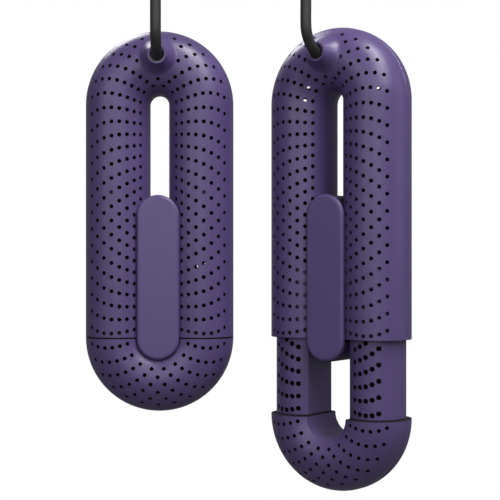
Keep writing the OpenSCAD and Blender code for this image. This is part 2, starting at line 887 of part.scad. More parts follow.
// Round tube swept along a route; across is any direction that the route never takes
module swept_tube(route, d, sides, across) {
    last = len(route) - 1;
    points = [
        for (i = [0:last])
            let (t = way_along(route, i), a = unit(cross(across, t)), b = cross(t, a))
            for (k = [0:sides - 1])
                route[i] + d / 2 * (cos(360 * k / sides) * a + sin(360 * k / sides) * b)
    ];
    walls = [
        for (i = [0:last - 1])
            for (k = [0:sides - 1])
                let (p = i * sides + k, q = i * sides + (k + 1) % sides)
                each [[p, p + sides, q], [q, p + sides, q + sides]]
    ];
    ends = [
        for (k = [1:sides - 2])
            each [[0, k, k + 1], [last * sides, last * sides + k + 1, last * sides + k]]
    ];
    polyhedron(points, concat(walls, ends));
}

module lead() {
    color(black_colour) swept_tube(lead_route, lead_d, lead_sides, [1, 0, 0]);
}

module left_coil() {
    color(black_colour) swept_tube(coil_route, lead_d, coil_sides, [0, 1, 0]);
}

module left_lead_end() {
    color(black_colour) swept_tube(end_route, lead_d, lead_sides, [0, 1, 0]);
}

// Straps round all the turns, over and under the coil's middle
module coil_ties() {
    inner = coil_r - coil_pitch * coil_spiral - lead_d / 2 - tie_gap;
    outer = coil_r - coil_pitch / 4 + lead_d / 2 + tie_gap;
    half = 1.5 * coil_layer + lead_d / 2 + tie_gap;
    color(black_colour) translate([0, 0, coil_z]) for (turn = [0, 180])
        rotate([0, turn, 0]) translate([0, 0, inner - tie_t]) difference() {
            translate([-tie_w / 2, -half - tie_t, 0])
                cube([tie_w, 2 * (half + tie_t), outer - inner + 2 * tie_t]);
            translate([-tie_w, -half, tie_t]) cube([2 * tie_w, 2 * half, outer - inner]);
        }
}

// Outline of the plug with round ends
module plug_outline(w, t) {
    translate([-(w - t) / 2, 0]) circle(d = t);
    translate([(w - t) / 2, 0]) circle(d = t);
    square([w - t, t], center = true);
}

module plug_body() {
    color(black_colour) difference() {
        union() {
            translate([0, 0, -plug_h + shoulder_h]) linear_extrude(plug_h - shoulder_h)
                plug_outline(plug_w, plug_t);
            translate([0, 0, -plug_h]) linear_extrude(shoulder_h + eps)
                plug_outline(plug_w - 2 * shoulder_inset, plug_t - 2 * shoulder_inset);
        }
        for (side = [-1, 1])
            translate([side * pin_pitch / 2, 0, -pin_in])
                cylinder(d = pin_root_d + 2 * pin_gap, h = pin_in + 1);
    }
}

// Tapered strain reliefs with ribs
module plug_reliefs() {
    step = relief_len / (2 * relief_ribs + 1);
    taper = (relief_top_r - relief_low_r) / relief_len;
    color(black_colour) for (side = [-1, 1])
        translate([side * relief_pitch / 2, 0, -plug_h - relief_len]) {
            cylinder(r1 = relief_low_r, r2 = relief_top_r, h = relief_len);
            for (i = [0:relief_ribs - 1])
                translate([0, 0, (2 * i + 1) * step])
                    cylinder(r = relief_low_r + taper * (2 * i + 1.5) * step + rib_rise, h = step);
        }
}

module plug_pins() {
    color(steel_colour) for (side = [-1, 1])
        translate([side * pin_pitch / 2, 0, 0]) {
            translate([0, 0, -pin_in]) cylinder(d = pin_root_d, h = pin_in);
            cylinder(d = pin_d, h = pin_len - pin_d / 4);
            translate([0, 0, pin_len - pin_d / 4]) cylinder(d1 = pin_d, d2 = pin_d / 2, h = pin_d / 4);
        }
}

at_left() upper_front_shell();  // left_upper_front_shell
at_right() upper_front_shell();  // right_upper_front_shell
at_left() upper_rear_shell();  // left_upper_rear_shell
at_right() upper_rear_shell();  // right_upper_rear_shell
at_left() slider_front_shell();  // left_slider_front_shell
at_right() drawn_out() slider_front_shell();  // right_slider_front_shell
at_left() slider_rear_shell();  // left_slider_rear_shell
at_right() drawn_out() slider_rear_shell();  // right_slider_rear_shell
at_left() slider_sleeves();  // left_slider_sleeves
at_right() drawn_out() slider_sleeves();  // right_slider_sleeves
at_left() bar_front_cover();  // left_bar_front_cover
at_right() bar_front_cover();  // right_bar_front_cover
at_left() bar_rear_cover();  // left_bar_rear_cover
at_right() bar_rear_cover();  // right_bar_rear_cover
at_left() bar_frame();  // left_bar_frame
at_right() bar_frame();  // right_bar_frame
at_left() lead_grommet();  // left_lead_grommet
at_right() lead_grommet();  // right_lead_grommet
at_left() lead_clamp();  // left_lead_clamp
at_right() lead_clamp();  // right_lead_clamp
at_left() control_board();  // left_control_board
at_right() control_board();  // right_control_board
at_left() thermal_fuse();  // left_thermal_fuse
at_right() thermal_fuse();  // right_thermal_fuse
at_left() board_parts();  // left_board_parts
at_right() board_parts();  // right_board_parts
at_left() heater_fins();  // left_heater_fins
at_right() heater_fins();  // right_heater_fins
at_left() heating_stones();  // left_heating_stones
at_right() heating_stones();  // right_heating_stones
at_left() air_guides();  // left_air_guides
at_right() air_guides();  // right_air_guides
at_left() heater_rings();  // left_heater_rings
at_right() heater_rings();  // right_heater_rings
at_left() heater_wires();  // left_heater_wires
at_right() heater_wires();  // right_heater_wires
at_left() sleeve_bushes();  // left_sleeve_bushes
at_right() sleeve_bushes();  // right_sleeve_bushes
at_left() slide_pads();  // left_slide_pads
at_right() drawn_out() slide_pads();  // right_slide_pads
at_left() shell_screws();  // left_shell_screws
at_right() shell_screws();  // right_shell_screws
at_left() slider_screws();  // left_slider_screws
at_right() drawn_out() slider_screws();  // right_slider_screws
translate(left_at) lead();  // left_lead
translate(right_at) rotate([0, 0, -right_turn]) lead();  // right_lead
left_coil();
rotate([0, 0, 180]) left_coil();  // right_coil
left_lead_end();
rotate([0, 0, 180]) left_lead_end();  // right_lead_end
coil_ties();
plug_body();
plug_reliefs();
plug_pins();
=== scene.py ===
import math

import bmesh
import bpy
from mathutils import Matrix, Vector


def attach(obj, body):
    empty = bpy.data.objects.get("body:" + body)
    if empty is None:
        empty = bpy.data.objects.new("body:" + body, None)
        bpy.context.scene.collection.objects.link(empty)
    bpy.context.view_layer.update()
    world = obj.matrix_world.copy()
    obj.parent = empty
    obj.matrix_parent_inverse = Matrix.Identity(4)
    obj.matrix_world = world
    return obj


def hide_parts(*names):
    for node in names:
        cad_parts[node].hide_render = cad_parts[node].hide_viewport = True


# A pair of boot dryers that hang by their leads: leads, trim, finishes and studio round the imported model

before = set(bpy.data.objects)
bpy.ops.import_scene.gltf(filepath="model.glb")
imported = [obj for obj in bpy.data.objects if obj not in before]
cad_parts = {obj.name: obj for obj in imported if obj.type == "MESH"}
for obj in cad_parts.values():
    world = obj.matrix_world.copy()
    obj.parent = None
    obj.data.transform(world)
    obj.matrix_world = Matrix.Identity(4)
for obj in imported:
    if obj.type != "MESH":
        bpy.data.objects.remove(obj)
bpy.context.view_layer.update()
scene = bpy.context.scene
scene.view_settings.view_transform = "Standard"

MM = 0.001
SIDES = ("left", "right")

# Loop of a dryer, in millimetres as in the part's source. The tube's middle line runs at ARM_X from the loop's,
# and its section is round at front and rear, with a straight band between.
ARM_X = 19.75
TUBE_R = 15.25
SIDE_BAND = 2.0
STRAIGHT = 110.0
DRAWN_OUT = {"left": 0.0, "right": 36.0}

# Slider: flat inner sides of its bend and of its sleeves, from the loop's middle line, and the sleeves' round
CAP_FLAT = 10.4
ARM_FLAT = 11.1
ARM_R = 12.75

# Seam of a closed loop: its gap, the painted shade on either side of it, and where that fades
SEAM_GAP = 0.4
SEAM_SHADE = 0.12
SEAM_FADE = 0.1

# Depth under the skin at which the painted shade of holes and insides starts, and is full
SKIN_LIT = 0.12
SKIN_DARK = 0.5

# Places of the dryers: centre of the upper bend and turn about the upright, in millimetres and degrees
PLACES = {
    "left": ((-34.0, 33.25, -215.0), 0.0),
    "right": ((51.1875, 22.446, -215.0), -34.3),
}

# Camera, level and in front of the pair
PHOTO_SIDE = 500
FOCUS_PIXELS = 1365.0
SENSOR = 36.0
CAMERA_AT = (0.0089, -0.6165, -0.2837)
CAMERA_NEAR = 0.01

# Leads: out of the boss and up in the dryer's own place, then the coil, then the way to the plug
LEAD_D = 5.0
LEAD_SMOOTH = 5
LIP = (0, -22, 21.5)
BOSS_ROUTE = (
    (0, -16, 19.3), LIP, (0, -25.5, 23.4), (0, -28.2, 26.3), (0, -30, 29.8), (0, -30.5, 33.7),
    (0, -30.5, 40), (0, -30.5, 50), (0, -30.5, 62), (0, -30.5, 74), (0, -30.5, 86),
)
PLUG_ROUTE = (
    (-34, 8.25, -110), (-34, 8.2, -103), (-33.05, 7.5, -96.5), (-30.14, 6.5, -90.5),
    (-25.8, 5.3, -85.5), (-20, 4.1, -82.5), (-14.2, 2.9, -79), (-9.86, 1.7, -74.5),
    (-6.95, 0.7, -68.5), (-6, 0, -62), (-6, 0, -56),
)

# Coil of a lead: in by a spiral, half a turn across to the next layer, and out again
COIL_Z = -124.0
COIL_R = 34.0
COIL_PITCH = 5.6
COIL_LAYER = 5.5
COIL_SPIRAL = 2.25
COIL_CLIMB = 0.5
COIL_DIP = 1.2
COIL_TURNS = 2 * COIL_SPIRAL + COIL_CLIMB
POINTS_A_TURN = 24


def upright_place(side):
    """Place of a dryer in millimetres: x to its right, y to its rear, z up."""
    at, turn = PLACES[side]
    return Matrix.Translation(at) @ Matrix.Rotation(math.radians(turn), 4, "Z")


def face_place(side):
    """Face frame of a dryer, from millimetres to metres: x to the right, y up the loop, z out of its front."""
    return Matrix.Scale(MM, 4) @ upright_place(side) @ Matrix.Rotation(math.radians(90), 4, "X")


def put_camera():
    camera = bpy.data.cameras.new("photo_camera")
    camera.sensor_width = SENSOR
    camera.lens = SENSOR * FOCUS_PIXELS / PHOTO_SIDE
    camera.clip_start = CAMERA_NEAR
    camera_object = bpy.data.objects.new("photo_camera", camera)
    camera_object.location = CAMERA_AT
    camera_object.rotation_euler = (math.radians(90), 0, 0)
    scene.collection.objects.link(camera_object)
    scene.camera = camera_object


def coil_point(turns):
    """Strand of the left lead's coil, after a number of turns from nine o'clock."""
    climbed = min(max((turns - COIL_SPIRAL) / COIL_CLIMB, 0), 1)
    if turns <= COIL_SPIRAL:
        radius = COIL_R - COIL_PITCH * turns
    elif turns >= COIL_SPIRAL + COIL_CLIMB:
        radius = COIL_R - COIL_PITCH * (COIL_TURNS - turns)
    else:
        radius = COIL_R - COIL_PITCH * COIL_SPIRAL - COIL_DIP * math.sin(math.pi * climbed)
    angle = math.pi - 2 * math.pi * turns
    rise = climbed * climbed * (3 - 2 * climbed)
    return (
        radius * math.cos(angle),
        COIL_LAYER / 2 + COIL_LAYER * rise,
        COIL_Z + radius * math.sin(angle),
    )


def lead_points(side):
    """Whole way of a lead from its boss through the coil to the plug, in metres."""
    place = upright_place(side)
    half_turn = Matrix.Rotation(math.pi if side == "right" else 0, 4, "Z")
    coil = [coil_point(i / POINTS_A_TURN) for i in range(int(POINTS_A_TURN * COIL_TURNS) + 1)]
    points = [place @ Vector(p) for p in BOSS_ROUTE]
    points += [half_turn @ Vector(p) for p in (*coil, *PLUG_ROUTE)]
    return [p * MM for p in points]


def draw_lead(side, finish):
    """A lead as one smooth cord, in place of its three solids."""
    name = side + "_lead_cord"
    points = lead_points(side)
    curve = bpy.data.curves.new(name, "CURVE")
    curve.dimensions = "3D"
    curve.bevel_depth = LEAD_D / 2 * MM
    curve.bevel_resolution = LEAD_SMOOTH
    curve.resolution_u = LEAD_SMOOTH
    curve.use_fill_caps = True
    spline = curve.splines.new("BEZIER")
    spline.bezier_points.add(len(points) - 1)
    for knot, point in zip(spline.bezier_points, points):
        knot.co = point
        knot.handle_left_type = knot.handle_right_type = "AUTO"
    lead = bpy.data.objects.new(name, curve)
    curve.materials.append(finish)
    scene.collection.objects.link(lead)
    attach(lead, "root")
    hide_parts(side + "_lead", side + "_coil", side + "_lead_end")
    return lead


put_camera()
lead_finish = bpy.data.materials.new("lead_vinyl")
leads = [draw_lead(side, lead_finish) for side in SIDES]


# Nodes


def give(tree, socket, value):
    """Sets a socket to a number or colour, or links it to another node's value."""
    if isinstance(value, (int, float, tuple)):
        socket.default_value = value
    else:
        tree.links.new(value, socket)


def noise(tree, scale, detail, roughness):
    """Noise over the piece's own coordinates, in cells a metre."""
    where = tree.nodes.new("ShaderNodeTexCoord")
    cells = tree.nodes.new("ShaderNodeTexNoise")
    tree.links.new(where.outputs["Object"], cells.inputs["Vector"])
    give(tree, cells.inputs["Scale"], scale)
    cells.inputs["Detail"].default_value = detail
    cells.inputs["Roughness"].default_value = roughness
    return cells.outputs["Fac"]


def spread(tree, value, low, high, to_low=0.0, to_high=1.0):
    """Stretches a value from low..high to another range, without going past it."""
    ramp = tree.nodes.new("ShaderNodeMapRange")
    tree.links.new(value, ramp.inputs["Value"])
    ramp.inputs["From Min"].default_value = low
    ramp.inputs["From Max"].default_value = high
    ramp.inputs["To Min"].default_value = to_low
    ramp.inputs["To Max"].default_value = to_high
    return ramp.outputs["Result"]


def work(tree, operation, *values):
    """Math node on numbers or other nodes' values."""
    node = tree.nodes.new("ShaderNodeMath")
    node.operation = operation
    for socket, value in zip(node.inputs, values):
        give(tree, socket, value)
    return node.outputs["Value"]


def times(tree, first, second):
    return work(tree, "MULTIPLY", first, second)


def minus(tree, first, second):
    return work(tree, "SUBTRACT", first, second)


def larger(tree, first, second):
    return work(tree, "MAXIMUM", first, second)


def smaller(tree, first, second):
    return work(tree, "MINIMUM", first, second)


def length(tree, first, second):
    squares = work(tree, "ADD", times(tree, first, first), times(tree, second, second))
    return work(tree, "SQRT", squares)


def mix_colour(tree, amount, first, second):
    mix = tree.nodes.new("ShaderNodeMix")
    mix.data_type = "RGBA"
    tree.links.new(amount, mix.inputs["Factor"])
    sockets = [s for s in mix.inputs if s.type == "RGBA"]
    for socket, value in zip(sockets, (first, second)):
        give(tree, socket, value)
    return next(s for s in mix.outputs if s.type == "RGBA")


# Shader groups that several finishes share

GRAIN_CELLS = 2600.0
FLOW_CELLS = 90.0
SMUDGE_CELLS = 55.0
SMUDGE_BREAKS = 700.0
DUST_CELLS = 240.0


def effect_group(name, inputs, outputs):
    """Empty shader group with float inputs (name and default) and float outputs."""
    group = bpy.data.node_groups.new(name, "ShaderNodeTree")
    for label, value in inputs:
        socket = group.interface.new_socket(label, in_out="INPUT", socket_type="NodeSocketFloat")
        socket.default_value = value
    for label in outputs:
        group.interface.new_socket(label, in_out="OUTPUT", socket_type="NodeSocketFloat")
    return group, group.nodes.new("NodeGroupInput"), group.nodes.new("NodeGroupOutput")


def place_group(tree, group, **values):
    node = tree.nodes.new("ShaderNodeGroup")
    node.node_tree = group
    for label, value in values.items():
        node.inputs[label].default_value = value
    return node


def make_moulded_grain():
    """Fine eroded grain of a moulding tool, with the flow marks of the melt."""
    group, given, put = effect_group(
        "moulded_grain", [("Cells", GRAIN_CELLS), ("Flow", FLOW_CELLS)], ["Height", "Speckle", "Flow"]
    )
    fine = noise(group, given.outputs["Cells"], detail=2.0, roughness=0.6)
    flow = noise(group, given.outputs["Flow"], detail=4.0, roughness=0.5)
    group.links.new(spread(group, fine, 0.3, 0.7), put.inputs["Height"])
    group.links.new(spread(group, fine, 0.42, 0.62), put.inputs["Speckle"])
    group.links.new(spread(group, flow, 0.35, 0.65), put.inputs["Flow"])
    return group


def make_handling_marks():
    """Where hands have polished the surface: large soft smudges with finer breaks in them."""
    group, given, put = effect_group("handling_marks", [("Smudges", SMUDGE_CELLS)], ["Smudge"])
    smudges = noise(group, given.outputs["Smudges"], detail=3.0, roughness=0.5)
    breaks = noise(group, SMUDGE_BREAKS, detail=2.0, roughness=0.5)
    soft = spread(group, smudges, 0.42, 0.66)
    fine = spread(group, breaks, 0.25, 0.75, to_low=0.6)
    group.links.new(times(group, soft, fine), put.inputs["Smudge"])
    return group


def make_settled_dust():
    """Thin dust on what faces up, in patches."""
    group, given, put = effect_group("settled_dust", [("Patches", DUST_CELLS)], ["Dust"])
    geometry = group.nodes.new("ShaderNodeNewGeometry")
    split = group.nodes.new("ShaderNodeSeparateXYZ")
    group.links.new(geometry.outputs["Normal"], split.inputs["Vector"])
    facing_up = spread(group, split.outputs["Z"], 0.35, 1.0)
    patches = noise(group, given.outputs["Patches"], detail=4.0, roughness=0.6)
    settled = times(group, facing_up, spread(group, patches, 0.4, 0.75))
    group.links.new(settled, put.inputs["Dust"])
    return group


def make_painted_shade_under_skin():
    """Painted shade under the loop's outer skin: the walls of its holes and all that lies behind them, painted
    dark and made dull.

    The edges of the seam over the lower bend get the same painted shade, so that a closed loop shows it as one
    clear line.
    Across, Up and Out are a place in the dryer's face frame. Low is where the lower bend starts, Radius the
    skin's distance from the tube's middle line, and Flat the distance of flat inner sides from the loop's.
    """
    labels = ("Across", "Up", "Out", "Low", "Radius", "Flat")
    group, given, put = effect_group("painted_shade_under_skin", [(label, 0.0) for label in labels], ["Under"])
    across, up, out, low, radius, flat = (given.outputs[label] for label in labels)
    over_seam = minus(group, up, low)
    past_bends = work(group, "ADD", larger(group, up, 0.0), smaller(group, over_seam, 0.0))
    from_middle = length(group, across, past_bends)
    off_line = minus(group, from_middle, ARM_X * MM)
    past_band = larger(group, minus(group, work(group, "ABSOLUTE", out), SIDE_BAND / 2 * MM), 0.0)
    under_round = minus(group, radius, length(group, off_line, past_band))
    under_flat = minus(group, from_middle, flat)
    depth = smaller(group, under_round, under_flat)
    # Painted shade: hole walls and all behind the skin darken with depth under it
    painted_inside_shade = spread(group, depth, SKIN_LIT * MM, SKIN_DARK * MM)
    # Painted shade along the seam's edges, so the seam reads as one dark line
    off_seam = work(group, "ABSOLUTE", minus(group, over_seam, SEAM_GAP / 2 * MM))
    edge = SEAM_GAP / 2 + SEAM_SHADE
    painted_seam_shade = spread(group, off_seam, edge * MM, (edge + SEAM_FADE) * MM, to_low=1.0, to_high=0.0)
    group.links.new(larger(group, painted_inside_shade, painted_seam_shade), put.inputs["Under"])
    return group


moulded_grain = make_moulded_grain()
handling_marks = make_handling_marks()
settled_dust = make_settled_dust()
painted_shade_under_skin = make_painted_shade_under_skin()


# Finishes


def srgb(red, green, blue):
    """Linear colour of an sRGB triple of 0 to 255."""
    def linear(value):
        value /= 255
        return value / 12.92 if value <= 0.04045 else ((value + 0.055) / 1.055) ** 2.4
    return (linear(red), linear(green), linear(blue), 1.0)


DUST_COLOUR = srgb(190, 188, 186)
# Near-black purple of the painted shade in holes, insides and along the seam
PAINTED_SHADE_COLOUR = srgb(14, 12, 18)
SPECKLED = 0.5
FLOWED = 0.3
POLISHED = 0.08
BUMP_STRENGTH = 0.6
METAL_CELLS = 900.0
METAL_SMUDGES = 120.0
METAL_SHADE = 0.75
METAL_DULLED = 0.15


def painted_shade_mask(tree, side, low, radius, flat):
    """Mask of the painted shade under the skin of a loop's piece, from the piece's own coordinates."""
    at, turn = PLACES[side]
    where = tree.nodes.new("ShaderNodeTexCoord")
    face = tree.nodes.new("ShaderNodeMapping")
    face.vector_type = "TEXTURE"
    face.inputs["Location"].default_value = Vector(at) * MM
    face.inputs["Rotation"].default_value = (math.radians(90), 0.0, math.radians(turn))
    tree.links.new(where.outputs["Object"], face.inputs["Vector"])
    split = tree.nodes.new("ShaderNodeSeparateXYZ")
    tree.links.new(face.outputs["Vector"], split.inputs["Vector"])
    under = place_group(tree, painted_shade_under_skin, Low=-low * MM, Radius=radius * MM, Flat=flat * MM)
    for axis, label in zip("XYZ", ("Across", "Up", "Out")):
        tree.links.new(split.outputs[axis], under.inputs[label])
    return under.outputs["Under"]


def fill_plastic(finish, colour, fleck, roughness, grain_cells=GRAIN_CELLS, grain_depth=0.03, dust=0.04,
                 specular=0.45, skin=None):
    """Grained plastic: speckled colour, smudged gloss, a little dust on top, and the grain as bump.

    With skin, the values that the under-skin mask takes, what lies under the skin is painted dark as shade.
    """
    finish.use_nodes = True
    tree = finish.node_tree
    surface = tree.nodes["Principled BSDF"]
    surface.inputs["Specular IOR Level"].default_value = specular
    grain = place_group(tree, moulded_grain, Cells=grain_cells)
    marks = place_group(tree, handling_marks)
    settled = place_group(tree, settled_dust)
    shade = mix_colour(tree, times(tree, grain.outputs["Speckle"], SPECKLED), colour, fleck)
    shade = mix_colour(tree, times(tree, grain.outputs["Flow"], FLOWED), shade, fleck)
    shade = mix_colour(tree, times(tree, settled.outputs["Dust"], dust), shade, DUST_COLOUR)
    gloss = spread(tree, marks.outputs["Smudge"], 0.0, 1.0, roughness, roughness - POLISHED)
    if skin:
        under = painted_shade_mask(tree, *skin)
        # Painted shade: what lies under the skin is mixed towards a near-black purple
        shade = mix_colour(tree, under, shade, PAINTED_SHADE_COLOUR)
        gloss = larger(tree, gloss, under)
    tree.links.new(shade, surface.inputs["Base Color"])
    tree.links.new(gloss, surface.inputs["Roughness"])
    bump = tree.nodes.new("ShaderNodeBump")
    bump.inputs["Distance"].default_value = grain_depth * MM
    bump.inputs["Strength"].default_value = BUMP_STRENGTH
    tree.links.new(grain.outputs["Height"], bump.inputs["Height"])
    tree.links.new(bump.outputs["Normal"], surface.inputs["Normal"])
    return finish


def plastic(name, *values, **more):
    return fill_plastic(bpy.data.materials.new(name), *values, **more)


def metal(name, colour, roughness):
    """Plain metal with fine grain and finger marks."""
    finish = bpy.data.materials.new(name)
    finish.use_nodes = True
    tree = finish.node_tree
    surface = tree.nodes["Principled BSDF"]
    surface.inputs["Metallic"].default_value = 1.0
    marks = place_group(tree, handling_marks, Smudges=METAL_SMUDGES)
    grain = place_group(tree, moulded_grain, Cells=METAL_CELLS)
    darker = tuple(METAL_SHADE * c for c in colour[:3]) + (1.0,)
    shade = mix_colour(tree, grain.outputs["Speckle"], colour, darker)
    gloss = spread(tree, marks.outputs["Smudge"], 0.0, 1.0, roughness, roughness + METAL_DULLED)
    tree.links.new(shade, surface.inputs["Base Color"])
    tree.links.new(gloss, surface.inputs["Roughness"])
    return finish


def shell_plastic(name, skin=None):
    """Satin purple of the loops."""
    return plastic(name, srgb(86, 71, 119), srgb(76, 62, 106), 0.40, grain_depth=0.02, skin=skin)


FINISHES = {
    "shell": shell_plastic("satin_purple_shell"),
    "bar_cover": plastic("smooth_purple_cover", srgb(88, 73, 122), srgb(82, 68, 114), 0.38,
                         grain_cells=3400.0, grain_depth=0.012),
    "bar_frame": plastic("dark_purple_frame", srgb(52, 42, 74), srgb(45, 36, 64), 0.55, specular=0.2),
    "grommet": plastic("black_rubber_grommet", srgb(38, 38, 39), srgb(30, 30, 31), 0.7),
    "clamp": plastic("white_nylon_clamp", srgb(214, 210, 200), srgb(202, 198, 188), 0.5),
    "board": plastic("green_board_lacquer", srgb(28, 92, 58), srgb(22, 76, 48), 0.35),
    "fuse": metal("tinned_fuse_can", srgb(196, 196, 192), 0.3),
    "board_parts": plastic("dark_epoxy_parts", srgb(40, 42, 52), srgb(32, 34, 44), 0.5),
    "fins": metal("oxidised_heater_fins", srgb(60, 58, 57), 0.55),
    "stone": plastic("grey_heating_stone", srgb(58, 52, 48), srgb(47, 42, 39), 0.8, grain_depth=0.06),
    "heater_ring": plastic("brown_heater_ring", srgb(40, 33, 28), srgb(32, 27, 23), 0.7, specular=0.2),
    "wire": plastic("black_wire_sleeve", srgb(24, 24, 25), srgb(18, 18, 19), 0.6, specular=0.2),
    "bush": plastic("black_acetal_bush", srgb(20, 19, 21), srgb(15, 14, 16), 0.6, specular=0.2),
    "pad": plastic("black_friction_pad", srgb(24, 23, 25), srgb(18, 17, 19), 0.8, specular=0.2),
    "screw": metal("zinc_screw", srgb(178, 178, 172), 0.34),
    "lead": fill_plastic(lead_finish, srgb(42, 42, 41), srgb(36, 36, 35), 0.5,
                         grain_cells=1800.0, grain_depth=0.02, dust=0.02),
    "tie": plastic("black_hook_strap", srgb(34, 34, 36), srgb(48, 48, 50), 0.85,
                   grain_cells=1500.0, grain_depth=0.15),
    "plug": plastic("black_plug_moulding", srgb(46, 46, 47), srgb(38, 38, 39), 0.48),
    "relief": plastic("black_soft_relief", srgb(42, 42, 43), srgb(35, 35, 36), 0.58),
    "pin": metal("nickel_pin", srgb(208, 204, 196), 0.2),
}


def finish_loop(side):
    """Finishes of the perforated pieces of a dryer, with painted shade under their skins."""
    seam = STRAIGHT + DRAWN_OUT[side]
    upper = shell_plastic(side + "_upper_shell_purple", skin=(side, STRAIGHT, TUBE_R, 0.0))
    lower = shell_plastic(side + "_lower_shell_purple", skin=(side, seam, TUBE_R, CAP_FLAT))
    sleeve = shell_plastic(side + "_sleeve_purple", skin=(side, seam, ARM_R, ARM_FLAT))
    for name, finish in (
        ("upper_front_shell", upper), ("upper_rear_shell", upper), ("slider_front_shell", lower),
        ("slider_rear_shell", lower), ("slider_sleeves", sleeve),
    ):
        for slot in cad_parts[side + "_" + name].material_slots:
            slot.material = finish


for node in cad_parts.values():
    for slot in node.material_slots:
        slot.material = FINISHES[slot.material.name.split(".")[0]]
for side in SIDES:
    finish_loop(side)


# Pieces that stand for CAD solids or lie over them

SHARP_ANGLE = math.radians(35)


def surface_piece(name, shape, slot_name):
    """Smooth mesh piece on the root body from a bmesh in metres, with sharp edges kept."""
    bmesh.ops.recalc_face_normals(shape, faces=shape.faces)
    mesh = bpy.data.meshes.new(name)
    shape.to_mesh(mesh)
    shape.free()
    mesh.shade_smooth()
    mesh.set_sharp_from_angle(angle=SHARP_ANGLE)
    mesh.materials.append(FINISHES[slot_name])
    piece = bpy.data.objects.new(name, mesh)
    scene.collection.objects.link(piece)
    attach(piece, "root")
    return piece


def add_ring(shape, place, spots):
    """Ring of vertices at spots in millimetres."""
    return [shape.verts.new(place @ Vector(spot)) for spot in spots]


def join_rings(shape, rings):
    """Faces between neighbouring rings of vertices."""
    for one, other in zip(rings, rings[1:]):
        for i in range(len(one)):
            j = (i + 1) % len(one)
            shape.faces.new((one[i], one[j], other[j], other[i]))


def join_round(shape, rings):
    """Faces between rings that close on themselves."""
    join_rings(shape, [*rings, rings[0]])


def join_capped(shape, rings):
    """Faces between rings, and over the first and the last."""
    join_rings(shape, rings)
    shape.faces.new(rings[0])
    shape.faces.new(rings[-1])


def rounded_box(low, high, radius, steps):
    """Rectangle with round corners, from its high corner round: places and their ways out."""
    path = []
    left, right = low[0] + radius, high[0] - radius
    bottom, top = low[1] + radius, high[1] - radius
    for k, (x, y) in enumerate(((right, top), (left, top), (left, bottom), (right, bottom))):
        for i in range(steps + 1):
            turn = math.radians(90 * (k + i / steps))
            way = (math.cos(turn), math.sin(turn))
            path.append((x + radius * way[0], y + radius * way[1], way))
    return path


# Flare of the boss: from its oval bore over the round lip, out to where it runs level into the loop's round
# front, with its edge turned under
BOSS_UP = 21.5
BOSS_OUT = 22.0
LIP_R = 4.3
LIP_ROUND = 0.4
LIP_STEPS = 6
BORE_ACROSS = 3.5
BORE_UP = 3.72
BORE_DEPTH = 1.2
FLARE_R = 9.0
FLARE_CURVE = 1.6
FLARE_STEPS = 18
FLARE_SIDES = 96
FLARE_HEM = ((0.3, -0.5), (-0.6, -1.0))


def loop_front(across, up):
    """Height of the loop's round front over a place on the upper bend."""
    off = math.hypot(across, up) - ARM_X
    return SIDE_BAND / 2 + math.sqrt(TUBE_R ** 2 - off ** 2)


def flare_profile(angle):
    """Outline of the flare at an angle round the boss, as radius and height."""
    across, up = math.cos(angle), math.sin(angle)
    bore = 1 / math.hypot(across / BORE_ACROSS, up / BORE_UP)
    lip_top = BOSS_OUT - LIP_ROUND
    middle = (bore + LIP_R) / 2
    half = (LIP_R - bore) / 2
    profile = [(bore, lip_top - BORE_DEPTH)]
    for i in range(LIP_STEPS + 1):
        turn = math.pi * (1 - i / LIP_STEPS)
        profile.append((middle + half * math.cos(turn), lip_top + LIP_ROUND * math.sin(turn)))
    at_lip = lip_top - loop_front(across * LIP_R, BOSS_UP + up * LIP_R)
    for i in range(1, FLARE_STEPS + 1):
        share = i / FLARE_STEPS
        radius = LIP_R + (FLARE_R - LIP_R) * share
        rise = at_lip * (1 - share) ** FLARE_CURVE
        profile.append((radius, loop_front(across * radius, BOSS_UP + up * radius) + rise))
    edge = loop_front(across * FLARE_R, BOSS_UP + up * FLARE_R)
    profile += [(FLARE_R + out, edge + rise) for out, rise in FLARE_HEM]
    return profile


def lay_flare(side):
    """The boss's smooth flare, over the front shell of a dryer."""
    shape = bmesh.new()
    place = face_place(side)
    angles = [2 * math.pi * i / FLARE_SIDES for i in range(FLARE_SIDES)]
    rings = []
    for outline in zip(*(flare_profile(angle) for angle in angles)):
        spots = [
            (radius * math.cos(angle), BOSS_UP + radius * math.sin(angle), height)
            for angle, (radius, height) in zip(angles, outline)
        ]
        rings.append(add_ring(shape, place, spots))
    join_round(shape, rings)
    surface_piece(side + "_boss_flare", shape, "shell")


# Straps round the coils: a band round all the turns, and its tongue laid back over the outer side. Along the
# tongue, its root and its tip take up a share of its length.
STRAP_W = 8.0
STRAP_T = 0.9
STRAP_ROUND = 3.2
STRAP_OFF = 0.9
STRAP_IN = COIL_R - COIL_PITCH * COIL_SPIRAL - LEAD_D / 2 - STRAP_OFF
STRAP_OUT = COIL_R - COIL_PITCH / 4 + LEAD_D / 2 + STRAP_OFF
STRAP_HALF = 1.5 * COIL_LAYER + LEAD_D / 2 + STRAP_OFF
BAND_STEPS = 8
EDGE_STEPS = 6
TONGUE_HALF = 8.5
TONGUE_STEPS = 14
ROOT_SHARE = 0.15
ROOT_LIFT = 0.15
TIP_SHARE = 0.2
TIP_WIDTH = 0.35
TIP_LIFT = 0.35


def strap_section(width):
    """Flat oval of a strap: places across its width and thickness."""
    half = STRAP_T / 2
    section = []
    for end, start in ((1, -90), (-1, 90)):
        for i in range(EDGE_STEPS + 1):
            turn = math.radians(start + 180 * i / EDGE_STEPS)
            section.append((end * (width / 2 - half) + half * math.cos(turn), half * math.sin(turn)))
    return section


def band_spots():
    """Sections of the band round the coil's turns."""
    path = rounded_box((-STRAP_HALF, STRAP_IN), (STRAP_HALF, STRAP_OUT), STRAP_ROUND, BAND_STEPS)
    for depth, out, way in path:
        yield [
            (across, depth + way[0] * thick, out + way[1] * thick)
            for across, thick in strap_section(STRAP_W)
        ]


